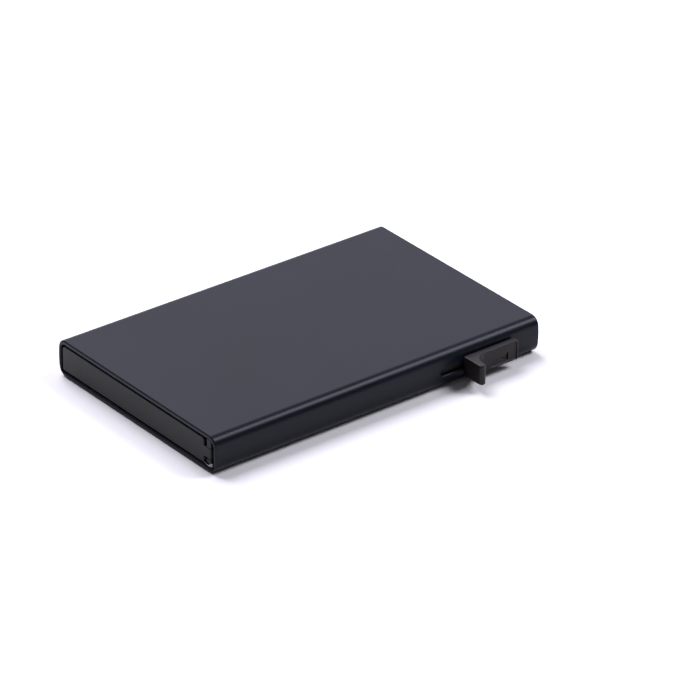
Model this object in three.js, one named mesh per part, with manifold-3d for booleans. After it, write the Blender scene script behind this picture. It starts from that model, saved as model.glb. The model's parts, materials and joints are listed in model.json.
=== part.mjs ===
// Slim metal card wallet: an extruded case with an inner card tray, a thumb slider on one long side that
// pushes the cards out, and a sprung door over the exit. Millimetres, +Z up. X runs along the case with the
// door at -X, the slider is on the -Y side, and the origin is the centre of the face the wallet lies on.
import * as THREE from 'three';
import { mergeVertices } from 'three/addons/utils/BufferGeometryUtils.js';
import Module from 'manifold-3d';

const wasm = await Module();
wasm.setup();

// ---- Driving dimensions ----

// Case: one length of extruded tube with slightly bulged sides.
const caseLength = 97.8;
const caseWidth = 62.4;
const caseHeight = 9.9;
const faceWall = 1.2;
const sideWall = 0.9;
const topRadius = 2.5;
const bottomRadius = 3.2;
const sideBulge = 0.1;
const innerTopRadius = 1.6;
const innerBottomRadius = 0.7;
const rimChamfer = 0.2;

// Cards the wallet is made for.
const cardLength = 85.6;
const cardWidth = 54;
const cardEndGap = 0.3;
const cardSideGap = 0.45;

// Door that closes the exit, and its pivot.
const doorRecess = 0.2;
const doorThickness = 2.1;
const doorTopGap = 0.45;
const doorBottomGap = 0.45;
const doorFreeGap = 0.4;
const doorCornerRadius = 0.6;
const doorSkin = 0.9;
const doorRim = 1.1;
const doorPockets = 3;
const doorPocketRib = 1.5;
const doorEdgeChamfer = 0.15;
const doorTrayGap = 0.4;
const knuckleRadius = 0.85;
const knuckleWallGap = 1.1;
const knuckleHeight = 2.8;
const knuckleCorner = 0.4;
const earCorner = 0.25;
const slitWidth = 1.05;
const earGap = 0.15;
const pinRadius = 0.35;
const pinPressGap = 0.02;
const pinRunningGap = 0.07;

// Door spring: wire wound round the pin under the lower ear.
const wireRadius = 0.15;
const coilRadius = 0.62;
const coilTurns = 2.25;
const coilPitch = 0.34;
const coilClearance = 0.15;
const springReach = 3.4;
const springHook = 1.1;
const hookHoleGap = 0.15;
const springEndGap = 0.15;
const springFloorGap = 0.05;

// Inner tray.
const trayGap = 0.15;
const traySheet = 0.75;
const traySideGap = 0.3;
const partitionThickness = 0.8;
const channelWidth = 2.6;
const postRadius = 1.6;
const postSpacing = 15;
const screwRadius = 0.6;
const screwHeadRadius = 1.25;
const screwHeadHeight = 0.4;
const screwGap = 0.05;
const blockLength = 2.2;
const blockGap = 0.05;
const blockOverlap = 0.6;
const pinHeadroom = 0.3;
const postCardGap = 1.9;
const postPusherGap = 5;
const driveWidth = 0.3;

// Closing cap at the far end.
const capRecess = 0.35;
const capThickness = 2.2;
const capGap = 0.12;
const hookLength = 4.8;
const hookWidth = 7;
const hookThickness = 0.75;
const barbLength = 1.2;
const barbHeight = 0.6;
const hookGap = 0.2;

// Thumb slider, its slot and its travel.
const sliderTravel = 16;
const plateLength = 15.8;
const plateHeight = 5.2;
const plateThickness = 1.75;
const plateGap = 0.45;
const plateToEnd = 8.3;
const plateBevel = 0.2;
const tabReach = 6.75;
const tabTip = 1.8;
const tabTipRadius = 0.85;
const tabSweepRadius = 3.5;
const plateEndRadius = 0.4;
const sliderScrewDepth = 0.6;
const faceRecess = 0.3;
const faceRim = 0.45;
const faceLead = 1.8;
const arrowLength = 2.1;
const arrowHeight = 1.85;
const arrowDepth = 0.35;
const arrowInset = 3.05;
const arrowDrop = 0.8;
const neckLength = 4.6;
const neckInset = 1.6;
const slotHeight = 2.3;
const slotGap = 0.2;

// Carriage and pusher behind the slot.
const carriageLength = 27.4;
const carriageGap = 0.3;
const carriageTrayGap = 0.25;
const carriageScrewRadius = 0.45;
const carriageScrewHeadRadius = 0.85;
const carriageScrewHeadHeight = 0.6;
const dragSpringLength = 5.4;
const dragSpringInset = 3.8;
const dragSpringHeight = 2.2;
const dragSpringSheet = 0.2;
const dragSpringBow = 0.6;
const dragPocketGap = 0.3;
const pusherWidth = 22;
const pusherSteps = 5;
const pusherTread = 0.95;
const pusherArm = 4;
const pusherSideGap = 0.2;
const pusherArmRelief = 0.6;
const partitionEndGap = 0.6;
const pusherPinRadius = 0.5;
const pusherPinLength = 4.2;
const bumperThickness = 0.6;

// Pads and springs that hold the cards.
const padLength = 12;
const padThickness = 0.4;
const padInset = 1.2;
const padMargin = 6;
const padCornerRadius = 1.5;
const restGap = 0.03;
const cardSpringLength = 50;
const cardSpringFlat = 5;
const cardSpringShoulder = 12;
const cardSpringShift = 3;
const cardSpringWidth = 7;
const cardSpringSheet = 0.2;
const cardSpringBow = 0.6;
const cardSpringSpacing = 26;
const rivetRadius = 0.7;
const rivetHeadRadius = 1.4;
const rivetHeadHeight = 0.25;

// ---- Places worked out from the dimensions ----

const halfLength = caseLength / 2;
const halfWidth = caseWidth / 2;
const innerHalfWidth = halfWidth - sideWall;
const floorZ = faceWall;
const ceilingZ = caseHeight - faceWall;
const middleZ = caseHeight / 2;
const sideFaceY = -(halfWidth + sideBulge);

const doorFrontX = -halfLength + doorRecess;
const doorBackX = doorFrontX + doorThickness;
const pivotX = (doorFrontX + doorBackX) / 2;
const pivotY = -innerHalfWidth + knuckleWallGap + knuckleRadius;
const doorEdgeY = pivotY + knuckleRadius + slitWidth;
const doorFreeY = innerHalfWidth - doorFreeGap;
const doorBottomZ = floorZ + doorBottomGap;
const doorTopZ = ceilingZ - doorTopGap;
const knuckleBottomZ = (doorBottomZ + doorTopZ - knuckleHeight) / 2;
const knuckleTopZ = knuckleBottomZ + knuckleHeight;

const trayFrontX = doorBackX + doorTrayGap;
const capInnerX = halfLength - capRecess - capThickness;
const trayBackX = capInnerX - trayGap;
const trayHalfWidth = innerHalfWidth - traySideGap;
const trayFloorBottom = floorZ + trayGap;
const trayFloorTop = trayFloorBottom + traySheet;
const trayRoofTop = ceilingZ - trayGap;
const trayRoofBottom = trayRoofTop - traySheet;
const partitionOuterY = -innerHalfWidth + channelWidth;
const bayLowY = partitionOuterY + partitionThickness;
const bayHighY = bayLowY + cardWidth + 2 * cardSideGap;
const cardFrontX = trayFrontX + cardEndGap;
const cardBackX = cardFrontX + cardLength;

const blockBackX = trayFrontX + blockLength;
const blockFrontX = trayFrontX + blockGap;
const blockLowY = -innerHalfWidth + knuckleWallGap;
const blockHighY = pivotY + knuckleRadius + blockOverlap;

const plateHighX = halfLength - plateToEnd;
const plateLowX = plateHighX - plateLength;
const plateBackY = sideFaceY - plateGap;
const plateFaceY = plateBackY - plateThickness;
const tabTipY = plateBackY - tabReach;
const neckHighX = plateHighX - neckInset;
const neckLowX = neckHighX - neckLength;
const neckHeight = slotHeight - 2 * slotGap;
const slotHighX = neckHighX + slotGap;
const slotLowX = neckLowX - sliderTravel - slotGap;

const carriageOuterY = -innerHalfWidth + carriageGap;
const carriageInnerY = partitionOuterY - carriageGap;
const carriageLowZ = trayFloorTop + carriageTrayGap;
const carriageHighZ = trayRoofBottom - carriageTrayGap;
const carriageHighX = trayBackX - bumperThickness - carriageGap;
const carriageLowX = carriageHighX - carriageLength;
const pusherFrontX = cardBackX + cardEndGap;
const pusherBackX = carriageHighX;
const pusherLowY = bayLowY + pusherSideGap;
const pusherHighY = pusherLowY + pusherWidth;
const partitionBackX = pusherBackX - pusherArm - sliderTravel - partitionEndGap;
const postX = cardBackX + postCardGap + postRadius;
const postLowY = pusherHighY + postPusherGap + postRadius;
const postHighY = postLowY + postSpacing;
const hookCentreY = (postLowY + postHighY) / 2;

// ---- Materials ----

function material(color, roughness, metalness) {
  return new THREE.MeshStandardMaterial({ color, roughness, metalness });
}

const anodised = material(0x2c3038, 0.42, 0.85);
const blackPlastic = material(0x1b1b1e, 0.55, 0);
const sliderPlastic = material(0x2c2829, 0.38, 0);
const trayPlastic = material(0x222326, 0.6, 0);
const steel = material(0xb9bcc2, 0.25, 1);
const springSteel = material(0x9a9da3, 0.3, 1);
const felt = material(0x303136, 0.95, 0);
const rubber = material(0x191919, 0.85, 0);

// ---- Solids ----

// A closed geometry as a solid that can be joined and cut.
function solid(geometry) {
  const bare = geometry.clone();
  bare.deleteAttribute('normal');
  bare.deleteAttribute('uv');
  const merged = mergeVertices(bare, 1e-5);
  const mesh = new wasm.Mesh({
    numProp: 3,
    vertProperties: new Float32Array(merged.attributes.position.array),
    triVerts: new Uint32Array(merged.index.array),
  });
  return new wasm.Manifold(mesh);
}

// A named mesh from a solid.
function part(name, body, look) {
  const mesh = body.getMesh();
  const geometry = new THREE.BufferGeometry();
  geometry.setAttribute('position', new THREE.BufferAttribute(new Float32Array(mesh.vertProperties), 3));
  geometry.setIndex(new THREE.BufferAttribute(new Uint32Array(mesh.triVerts), 1));
  geometry.computeVertexNormals();
  const result = new THREE.Mesh(geometry, look);
  result.name = name;
  return result;
}

function join(bodies) {
  return bodies.reduce((sum, body) => sum.add(body));
}

function cut(body, tools) {
  return tools.reduce((rest, tool) => rest.subtract(tool), body);
}

// A rectangular block between two corners.
function block(lowX, highX, lowY, highY, lowZ, highZ) {
  const box = new THREE.BoxGeometry(highX - lowX, highY - lowY, highZ - lowZ);
  box.translate((lowX + highX) / 2, (lowY + highY) / 2, (lowZ + highZ) / 2);
  return solid(box);
}

// An upright round bar.
function rodZ(x, y, radius, lowZ, highZ, sides = 24) {
  const rod = new THREE.CylinderGeometry(radius, radius, highZ - lowZ, sides);
  rod.rotateX(Math.PI / 2);
  rod.translate(x, y, (lowZ + highZ) / 2);
  return solid(rod);
}

// A round bar lying across the case, along Y.
function rodY(x, z, radius, lowY, highY, sides = 24) {
  const rod = new THREE.CylinderGeometry(radius, radius, highY - lowY, sides);
  rod.translate(x, (lowY + highY) / 2, z);
  return solid(rod);
}

function extrude(shape, depth, chamfer, curveSegments) {
  const geometry = new THREE.ExtrudeGeometry(shape, {
    depth: depth - 2 * chamfer,
    curveSegments,
    bevelEnabled: chamfer > 0,
    bevelThickness: chamfer,
    bevelSize: chamfer,
    bevelOffset: -chamfer,
    bevelSegments: 1,
  });
  geometry.translate(0, 0, chamfer);
  return geometry;
}

// An outline in (Y, Z) drawn out along X.
function prismX(shape, lowX, highX, chamfer = 0, curveSegments = 8) {
  const geometry = extrude(shape, highX - lowX, chamfer, curveSegments);
  const turn = new THREE.Matrix4().makeBasis(
    new THREE.Vector3(0, 1, 0), new THREE.Vector3(0, 0, 1), new THREE.Vector3(1, 0, 0));
  geometry.applyMatrix4(turn);
  geometry.translate(lowX, 0, 0);
  return solid(geometry);
}

// An outline in (X, Z) drawn out along Y.
function prismY(shape, lowY, highY, curveSegments = 8) {
  const geometry = extrude(shape, highY - lowY, 0, curveSegments);
  geometry.rotateX(Math.PI / 2);
  geometry.translate(0, highY, 0);
  return solid(geometry);
}

// An outline in (X, Y) drawn out along Z.
function prismZ(shape, lowZ, highZ, chamfer = 0, curveSegments = 8) {
  const geometry = extrude(shape, highZ - lowZ, chamfer, curveSegments);
  geometry.translate(0, 0, lowZ);
  return solid(geometry);
}

// The case's cross-section: rounded corners, flat top and bottom, and sides that swell by a bulge.
function sectionShape(half, lowZ, highZ, lowRadius, highRadius, bulge) {
  const shape = new THREE.Shape();
  const middle = (lowZ + lowRadius + highZ - highRadius) / 2;
  shape.moveTo(-half + lowRadius, lowZ);
  shape.lineTo(half - lowRadius, lowZ);
  shape.absarc(half - lowRadius, lowZ + lowRadius, lowRadius, -Math.PI / 2, 0, false);
  shape.quadraticCurveTo(half + 2 * bulge, middle, half, highZ - highRadius);
  shape.absarc(half - highRadius, highZ - highRadius, highRadius, 0, Math.PI / 2, false);
  shape.lineTo(-half + highRadius, highZ);
  shape.absarc(-half + highRadius, highZ - highRadius, highRadius, Math.PI / 2, Math.PI, false);
  shape.quadraticCurveTo(-half - 2 * bulge, middle, -half, lowZ + lowRadius);
  shape.absarc(-half + lowRadius, lowZ + lowRadius, lowRadius, Math.PI, Math.PI * 1.5, false);
  return shape;
}

function roundedRectangle(lowU, highU, lowV, highV, radius) {
  const shape = new THREE.Shape();
  shape.moveTo(lowU + radius, lowV);
  shape.lineTo(highU - radius, lowV);
  shape.absarc(highU - radius, lowV + radius, radius, -Math.PI / 2, 0, false);
  shape.lineTo(highU, highV - radius);
  shape.absarc(highU - radius, highV - radius, radius, 0, Math.PI / 2, false);
  shape.lineTo(lowU + radius, highV);
  shape.absarc(lowU + radius, highV - radius, radius, Math.PI / 2, Math.PI, false);
  shape.lineTo(lowU, lowV + radius);
  shape.absarc(lowU + radius, lowV + radius, radius, Math.PI, Math.PI * 1.5, false);
  return shape;
}

// ---- Case and cap ----

// The outline of the room inside the case, drawn in by a gap.
function cavityShape(gap) {
  return sectionShape(innerHalfWidth - gap, floorZ + gap, ceilingZ - gap,
    innerBottomRadius - gap, innerTopRadius - gap, 0);
}

// Trims a body to the room inside the case, with a gap all round.
function fitted(body, gap) {
  return body.intersect(prismX(cavityShape(gap), -halfLength, halfLength));
}

function caseShell() {
  const outline = sectionShape(halfWidth, 0, caseHeight, bottomRadius, topRadius, sideBulge);
  outline.holes.push(cavityShape(0));
  const tube = prismX(outline, -halfLength, halfLength, rimChamfer);
  const slotLow = middleZ - slotHeight / 2;
  const slotHigh = middleZ + slotHeight / 2;
  const slot = prismY(roundedRectangle(slotLowX, slotHighX, slotLow, slotHigh, slotHeight / 2 - 0.001),
    sideFaceY - 1, -innerHalfWidth + 1);
  return part('case_shell', tube.subtract(slot), anodised);
}

// One snap hook on the cap: a tongue beside the tray's sheet with a barb that stands into its window.
function capHook(sheetZ, up) {
  const side = up ? 1 : -1;
  const near = sheetZ - side * restGap * 2;
  const far = near - side * hookThickness;
  const tip = capInnerX - hookLength;
  const lowY = hookCentreY - hookWidth / 2;
  const highY = hookCentreY + hookWidth / 2;
  const tongue = block(tip, capInnerX + 0.5, lowY, highY, Math.min(near, far), Math.max(near, far));
  const barbEnd = near + side * barbHeight;
  const barb = block(tip, tip + barbLength, lowY, highY, Math.min(far, barbEnd), Math.max(far, barbEnd));
  return tongue.add(barb);
}

function endCap() {
  const plate = prismX(cavityShape(capGap), capInnerX, capInnerX + capThickness, rimChamfer);
  const hooks = [capHook(trayRoofBottom, true), capHook(trayFloorTop, false)];
  return part('end_cap', join([plate, ...hooks]), blackPlastic);
}

// ---- Tray ----

// The room that the hinge block takes out of the tray's front corner.
function hingeCorner() {
  return block(trayFrontX - 1, blockBackX + trayGap, -innerHalfWidth, blockHighY + trayGap, 0, caseHeight);
}

// The window in a tray sheet that a cap hook's barb stands in.
function barbWindow() {
  const tip = capInnerX - hookLength;
  const reach = hookWidth / 2 + hookGap;
  return [tip - hookGap, tip + barbLength + hookGap, hookCentreY - reach, hookCentreY + reach];
}

function trayFloor() {
  const sheet = block(trayFrontX, trayBackX, -trayHalfWidth, trayHalfWidth, trayFloorBottom, trayFloorTop);
  const railTop = trayRoofBottom - trayGap;
  const rail = block(trayFrontX, trayBackX, bayHighY, trayHalfWidth, trayFloorBottom, railTop);
  const partition = block(blockBackX + trayGap, partitionBackX, partitionOuterY, bayLowY,
    trayFloorBottom, railTop);
  const posts = [postLowY, postHighY].map((y) => rodZ(postX, y, postRadius, trayFloorBottom, railTop));
  const holes = [postLowY, postHighY].map((y) =>
    rodZ(postX, y, screwRadius + screwGap, trayFloorTop, railTop + 1, 16));
  const [lowX, highX, lowY, highY] = barbWindow();
  const window = block(lowX, highX, lowY, highY, trayFloorBottom - 1, trayFloorTop + 0.01);
  const body = cut(join([sheet, rail, partition, ...posts]), [...holes, window, hingeCorner()]);
  return part('tray_floor', fitted(body, trayGap), trayPlastic);
}

function trayRoof() {
  const sheet = block(trayFrontX, trayBackX, -trayHalfWidth, trayHalfWidth, trayRoofBottom, trayRoofTop);
  const holes = [postLowY, postHighY].map((y) =>
    rodZ(postX, y, screwRadius + screwGap, trayRoofBottom - 1, trayRoofTop + 1, 16));
  const sinks = [postLowY, postHighY].map((y) =>
    rodZ(postX, y, screwHeadRadius + 0.1, trayRoofTop - screwHeadHeight, trayRoofTop + 1));
  const rivetHoles = [-1, 1].map((side) => rodZ(cardSpringRivetX, cardSpringY(side),
    rivetRadius + screwGap, trayRoofBottom - 1, trayRoofTop + 1, 16));
  const [lowX, highX, lowY, highY] = barbWindow();
  const window = block(lowX, highX, lowY, highY, trayRoofBottom - 0.01, trayRoofTop + 1);
  const body = cut(sheet, [...holes, ...sinks, ...rivetHoles, window, hingeCorner()]);
  return part('tray_roof', fitted(body, trayGap), trayPlastic);
}

function trayScrew(name, y) {
  const shank = rodZ(postX, y, screwRadius, middleZ - 1, trayRoofTop - screwHeadHeight + 0.05, 16);
  const headBottom = trayRoofTop - screwHeadHeight + restGap;
  const head = rodZ(postX, y, screwHeadRadius, headBottom, trayRoofTop);
  const drive = [0, Math.PI / 2].map((turn) => {
    const bar = new THREE.BoxGeometry(screwHeadRadius * 1.3, driveWidth, screwHeadHeight);
    bar.rotateZ(turn);
    bar.translate(postX, y, trayRoofTop);
    return solid(bar);
  });
  return part(name, cut(shank.add(head), drive), steel);
}

// ---- Door, pivot and door spring ----

function hingeBlock() {
  const lowZ = floorZ + trayGap;
  const highZ = ceilingZ - trayGap;
  const foot = block(blockFrontX, blockBackX, blockLowY, blockHighY, lowZ, highZ);
  const lowerEar = [coilTopZ() + coilClearance, knuckleBottomZ - earGap];
  const upperEar = [knuckleTopZ + earGap, highZ];
  const earOutline = roundedRectangle(doorFrontX, blockFrontX + earCorner + 0.1,
    pivotY - knuckleRadius, pivotY + knuckleRadius, earCorner);
  const ears = [lowerEar, upperEar].map(([low, high]) => prismZ(earOutline, low, high));
  const bore = rodZ(pivotX, pivotY, pinRadius + pinPressGap, lowZ - 1, highZ - pinHeadroom, 20);
  return part('hinge_block', fitted(join([foot, ...ears]).subtract(bore), trayGap), blackPlastic);
}

function doorPin() {
  const highZ = ceilingZ - trayGap - pinHeadroom - blockGap;
  return part('door_pin', rodZ(pivotX, pivotY, pinRadius, floorZ + trayGap, highZ, 20), steel);
}

function door() {
  const outline = roundedRectangle(doorEdgeY, doorFreeY, doorBottomZ, doorTopZ, doorCornerRadius);
  const panel = fitted(prismX(outline, doorFrontX, doorBackX, doorEdgeChamfer), doorTopGap);
  const neck = block(doorFrontX, doorBackX, pivotY, doorEdgeY + 0.6, knuckleBottomZ, knuckleTopZ);
  const knuckleOutline = roundedRectangle(doorFrontX, doorBackX,
    pivotY - knuckleRadius, doorEdgeY, knuckleCorner);
  const knuckle = prismZ(knuckleOutline, knuckleBottomZ, knuckleTopZ);
  const bore = rodZ(pivotX, pivotY, pinRadius + pinRunningGap, 0, caseHeight, 20);
  const pocketsLowY = springHookY + doorPocketRib;
  const pitch = (doorFreeY - doorRim - pocketsLowY + doorPocketRib) / doorPockets;
  const pockets = Array.from({ length: doorPockets }, (_, i) => block(
    doorFrontX + doorSkin, doorBackX + 1,
    pocketsLowY + i * pitch, pocketsLowY + (i + 1) * pitch - doorPocketRib,
    doorBottomZ + doorRim, doorTopZ - doorRim));
  const hookHole = rodZ(springHookX, springHookY, wireRadius + hookHoleGap,
    doorBottomZ - 1, doorBottomZ + springHook + hookHoleGap, 12);
  return part('door', cut(join([panel, neck, knuckle]), [bore, hookHole, ...pockets]), blackPlastic);
}

const coilBottomZ = floorZ + springFloorGap + wireRadius;
const springHookX = pivotX + blockGap;
const springHookY = doorEdgeY + springReach;

function coilTopZ() {
  return coilBottomZ + coilTurns * coilPitch + wireRadius;
}

// The wire starts in the door, runs along under it, winds up round the pin and ends behind the ear.
function doorSpring() {
  const points = [
    new THREE.Vector3(springHookX, springHookY, doorBottomZ + springHook),
    new THREE.Vector3(springHookX, springHookY, doorBottomZ + springHook / 3),
    new THREE.Vector3(springHookX - 0.03, springHookY - 0.25, coilBottomZ + 0.05),
    new THREE.Vector3(pivotX - coilRadius + 0.3, (springHookY + pivotY) / 2, coilBottomZ),
    new THREE.Vector3(pivotX - coilRadius, pivotY + coilRadius, coilBottomZ),
  ];
  const stepsPerTurn = 12;
  const steps = coilTurns * stepsPerTurn;
  for (let i = 0; i <= steps; i += 1) {
    const angle = Math.PI + (i / stepsPerTurn) * 2 * Math.PI;
    const height = coilBottomZ + (i / stepsPerTurn) * coilPitch;
    points.push(new THREE.Vector3(
      pivotX + coilRadius * Math.cos(angle), pivotY + coilRadius * Math.sin(angle), height));
  }
  const endZ = coilBottomZ + coilTurns * coilPitch;
  points.push(new THREE.Vector3(blockFrontX - springEndGap, pivotY - coilRadius, endZ));
  const path = new THREE.CatmullRomCurve3(points, false, 'centripetal');
  const section = new THREE.Shape();
  section.absarc(0, 0, wireRadius, 0, Math.PI * 2, false);
  const wire = new THREE.ExtrudeGeometry(section, { steps: 90, curveSegments: 3, extrudePath: path });
  return part('door_spring', solid(wire), springSteel);
}

// ---- Slider ----

function sliderOutline() {
  const shape = new THREE.Shape();
  const tipY = tabTipY + tabTipRadius;
  const sweepX = plateLowX + tabTip + tabSweepRadius;
  const sweepY = plateFaceY - tabSweepRadius;
  const sweepStart = Math.asin(Math.max(0, (tipY - sweepY) / tabSweepRadius));
  shape.moveTo(plateLowX, plateBackY);
  shape.lineTo(plateLowX, tipY);
  shape.absarc(plateLowX + tabTipRadius, tipY, tabTipRadius, Math.PI, Math.PI * 1.5, false);
  shape.absarc(plateLowX + tabTip - tabTipRadius, tipY, tabTipRadius, -Math.PI / 2, 0, false);
  shape.absarc(sweepX, sweepY, tabSweepRadius, Math.PI - sweepStart, Math.PI / 2, true);
  const endX = plateHighX - plateEndRadius;
  shape.lineTo(endX, plateFaceY);
  shape.absarc(endX, plateFaceY + plateEndRadius, plateEndRadius, -Math.PI / 2, 0, false);
  shape.lineTo(plateHighX, plateBackY);
  shape.closePath();
  return shape;
}

function thumbSlider() {
  const lowZ = middleZ - plateHeight / 2;
  const highZ = middleZ + plateHeight / 2;
  const plate = prismZ(sliderOutline(), lowZ, highZ, plateBevel, 8);
  const half = neckHeight / 2;
  const neck = prismY(roundedRectangle(neckLowX, neckHighX, middleZ - half, middleZ + half, half - 0.001),
    plateBackY - 0.3, carriageOuterY - restGap);
  const faceLowX = plateLowX + tabTip + tabSweepRadius + faceLead;
  const recess = block(faceLowX, plateHighX - faceRim, plateFaceY - 1, plateFaceY + faceRecess,
    lowZ + faceRim, highZ - faceRim);
  const arrowBaseX = plateHighX - arrowInset;
  const arrowZ = middleZ - arrowDrop;
  const triangle = new THREE.Shape();
  triangle.moveTo(arrowBaseX - arrowLength, arrowZ);
  triangle.lineTo(arrowBaseX, arrowZ - arrowHeight / 2);
  triangle.lineTo(arrowBaseX, arrowZ + arrowHeight / 2);
  triangle.closePath();
  const arrow = prismY(triangle, plateFaceY - 1, plateFaceY + faceRecess + arrowDepth);
  const screwHole = rodY(neckScrewX, middleZ, carriageScrewRadius + screwGap,
    plateBackY - sliderScrewDepth, 0, 16);
  return part('thumb_slider', cut(plate.add(neck), [recess, arrow, screwHole]), sliderPlastic);
}

const neckScrewX = (neckLowX + neckHighX) / 2;

// ---- Carriage and pusher ----

function dragPocket() {
  const centreX = neckLowX - dragSpringInset;
  const reach = dragSpringLength / 2 + dragPocketGap;
  const rise = dragSpringHeight / 2 + dragPocketGap;
  const depth = dragSpringBow + dragSpringSheet + 0.1;
  return block(centreX - reach, centreX + reach, carriageOuterY - 1, carriageOuterY + depth,
    middleZ - rise, middleZ + rise);
}

function sliderCarriage() {
  const body = block(carriageLowX, carriageHighX, carriageOuterY, carriageInnerY,
    carriageLowZ, carriageHighZ);
  const screwHole = rodY(neckScrewX, middleZ, carriageScrewRadius + screwGap, carriageOuterY - 1, 0, 16);
  const sink = rodY(neckScrewX, middleZ, carriageScrewHeadRadius + 0.1,
    carriageInnerY - carriageScrewHeadHeight - 0.1, carriageInnerY + 1);
  const pinHoles = pusherPinHeights().map((z) =>
    rodY(pusherPinX, z, pusherPinRadius + screwGap, carriageOuterY - 1, carriageInnerY + 1, 16));
  return part('slider_carriage', cut(body, [screwHole, sink, dragPocket(), ...pinHoles]), trayPlastic);
}

function carriageScrew() {
  const headLow = carriageInnerY - carriageScrewHeadHeight;
  const shank = rodY(neckScrewX, middleZ, carriageScrewRadius, plateBackY, headLow + 0.1, 16);
  const head = rodY(neckScrewX, middleZ, carriageScrewHeadRadius, headLow, carriageInnerY);
  const drive = block(neckScrewX - 0.5, neckScrewX + 0.5, carriageInnerY - 0.25, carriageInnerY + 1,
    middleZ - 0.12, middleZ + 0.12);
  return part('carriage_screw', shank.add(head).subtract(drive), steel);
}

// A bowed strip whose outline is an arc of even thickness, seen from above.
function bowedStrip(centre, length, bow, sheet) {
  const shape = new THREE.Shape();
  const half = length / 2;
  shape.moveTo(centre - half, 0);
  shape.quadraticCurveTo(centre, 2 * bow, centre + half, 0);
  shape.lineTo(centre + half, sheet);
  shape.quadraticCurveTo(centre, 2 * bow + sheet, centre - half, sheet);
  shape.closePath();
  return shape;
}

// The bow of the drag spring reaches for the case wall and keeps the slider where it is put.
function dragSpring() {
  const centreX = neckLowX - dragSpringInset;
  const outline = bowedStrip(centreX, dragSpringLength, dragSpringBow, dragSpringSheet);
  const strip = extrude(outline, dragSpringHeight, 0, 12);
  strip.rotateX(Math.PI);
  strip.translate(0, carriageOuterY + dragSpringBow + dragSpringSheet, middleZ + dragSpringHeight / 2);
  return part('drag_spring', solid(strip), springSteel);
}

const pusherPinX = pusherBackX - pusherArm / 2;

function pusherPinHeights() {
  const quarter = (carriageHighZ - carriageLowZ) / 4;
  return [middleZ - quarter, middleZ + quarter];
}

// Steps across its front meet the cards one after another, so that they come out fanned.
function cardPusher() {
  const rise = (carriageHighZ - carriageLowZ) / pusherSteps;
  const stairs = new THREE.Shape();
  stairs.moveTo(pusherBackX, carriageLowZ);
  stairs.lineTo(pusherBackX, carriageHighZ);
  for (let step = pusherSteps - 1; step >= 0; step -= 1) {
    const frontX = pusherFrontX + step * pusherTread;
    stairs.lineTo(frontX, carriageLowZ + (step + 1) * rise);
    stairs.lineTo(frontX, carriageLowZ + step * rise);
  }
  stairs.closePath();
  const body = prismY(stairs, pusherLowY, pusherHighY);
  const arm = block(pusherBackX - pusherArm, pusherBackX,
    carriageInnerY + restGap, pusherLowY + pusherSideGap,
    carriageLowZ + rise, carriageHighZ - pusherArmRelief);
  const armFoot = block(pusherBackX - pusherArm, pusherBackX, pusherLowY, pusherLowY + pusherPinLength,
    carriageLowZ, carriageHighZ);
  const pinHoles = pusherPinHeights().map((z) => rodY(pusherPinX, z, pusherPinRadius + screwGap,
    carriageInnerY - 1, pusherLowY + pusherPinLength / 2, 16));
  return part('card_pusher', cut(join([body, arm, armFoot]), pinHoles), blackPlastic);
}

function pusherPin(name, z) {
  const endY = pusherLowY + pusherPinLength / 2 - 0.2;
  return part(name, rodY(pusherPinX, z, pusherPinRadius, endY - pusherPinLength, endY, 16), steel);
}

function sliderBumper() {
  const outline = roundedRectangle(carriageOuterY, carriageInnerY, carriageLowZ, carriageHighZ, 0.5);
  return part('slider_bumper', prismX(outline, trayBackX - bumperThickness, trayBackX - restGap), rubber);
}

// ---- Pads and card springs ----

function pad(name, lowZ) {
  const lowY = bayLowY + padMargin;
  const highY = bayHighY - padMargin;
  const lowX = trayFrontX + padInset;
  const outline = roundedRectangle(lowX, lowX + padLength, lowY, highY, padCornerRadius);
  return part(name, prismZ(outline, lowZ, lowZ + padThickness), felt);
}

const cardSpringLowX = -cardSpringLength / 2 - cardSpringShift;
const cardSpringRivetX = cardSpringLowX + cardSpringFlat / 2;

function cardSpringY(side) {
  return (bayLowY + bayHighY) / 2 + (side * cardSpringSpacing) / 2;
}

// Riveted flat at the exit end, the strip bows down on to the cards and slides on the roof at its free end.
function cardSpring(name, side) {
  const top = trayRoofBottom - restGap;
  const shape = new THREE.Shape();
  const startX = cardSpringLowX + cardSpringFlat;
  const endX = cardSpringLowX + cardSpringLength;
  const midX = (startX + endX) / 2;
  const under = top - cardSpringSheet;
  const lowX = midX - cardSpringShoulder;
  const highX = midX + cardSpringShoulder;
  const bow = cardSpringBow;
  shape.moveTo(cardSpringLowX, top);
  shape.lineTo(cardSpringLowX, under);
  shape.lineTo(startX, under);
  shape.bezierCurveTo(lowX, under, lowX, under - bow, midX, under - bow);
  shape.bezierCurveTo(highX, under - bow, highX, under, endX, under);
  shape.lineTo(endX, top);
  shape.bezierCurveTo(highX, top, highX, top - bow, midX, top - bow);
  shape.bezierCurveTo(lowX, top - bow, lowX, top, startX, top);
  shape.closePath();
  const centreY = cardSpringY(side);
  const strip = prismY(shape, centreY - cardSpringWidth / 2, centreY + cardSpringWidth / 2, 6);
  const hole = rodZ(cardSpringRivetX, centreY, rivetRadius + screwGap, 0, caseHeight, 16);
  return part(name, strip.subtract(hole), springSteel);
}

function cardSpringRivet(name, side) {
  const centreY = cardSpringY(side);
  const under = trayRoofBottom - 2 * restGap - cardSpringSheet;
  const shank = rodZ(cardSpringRivetX, centreY, rivetRadius, under - rivetHeadHeight / 2, trayRoofTop, 16);
  const head = rodZ(cardSpringRivetX, centreY, rivetHeadRadius, under - rivetHeadHeight, under);
  return part(name, shank.add(head), steel);
}

// ---- Assembly ----

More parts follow.
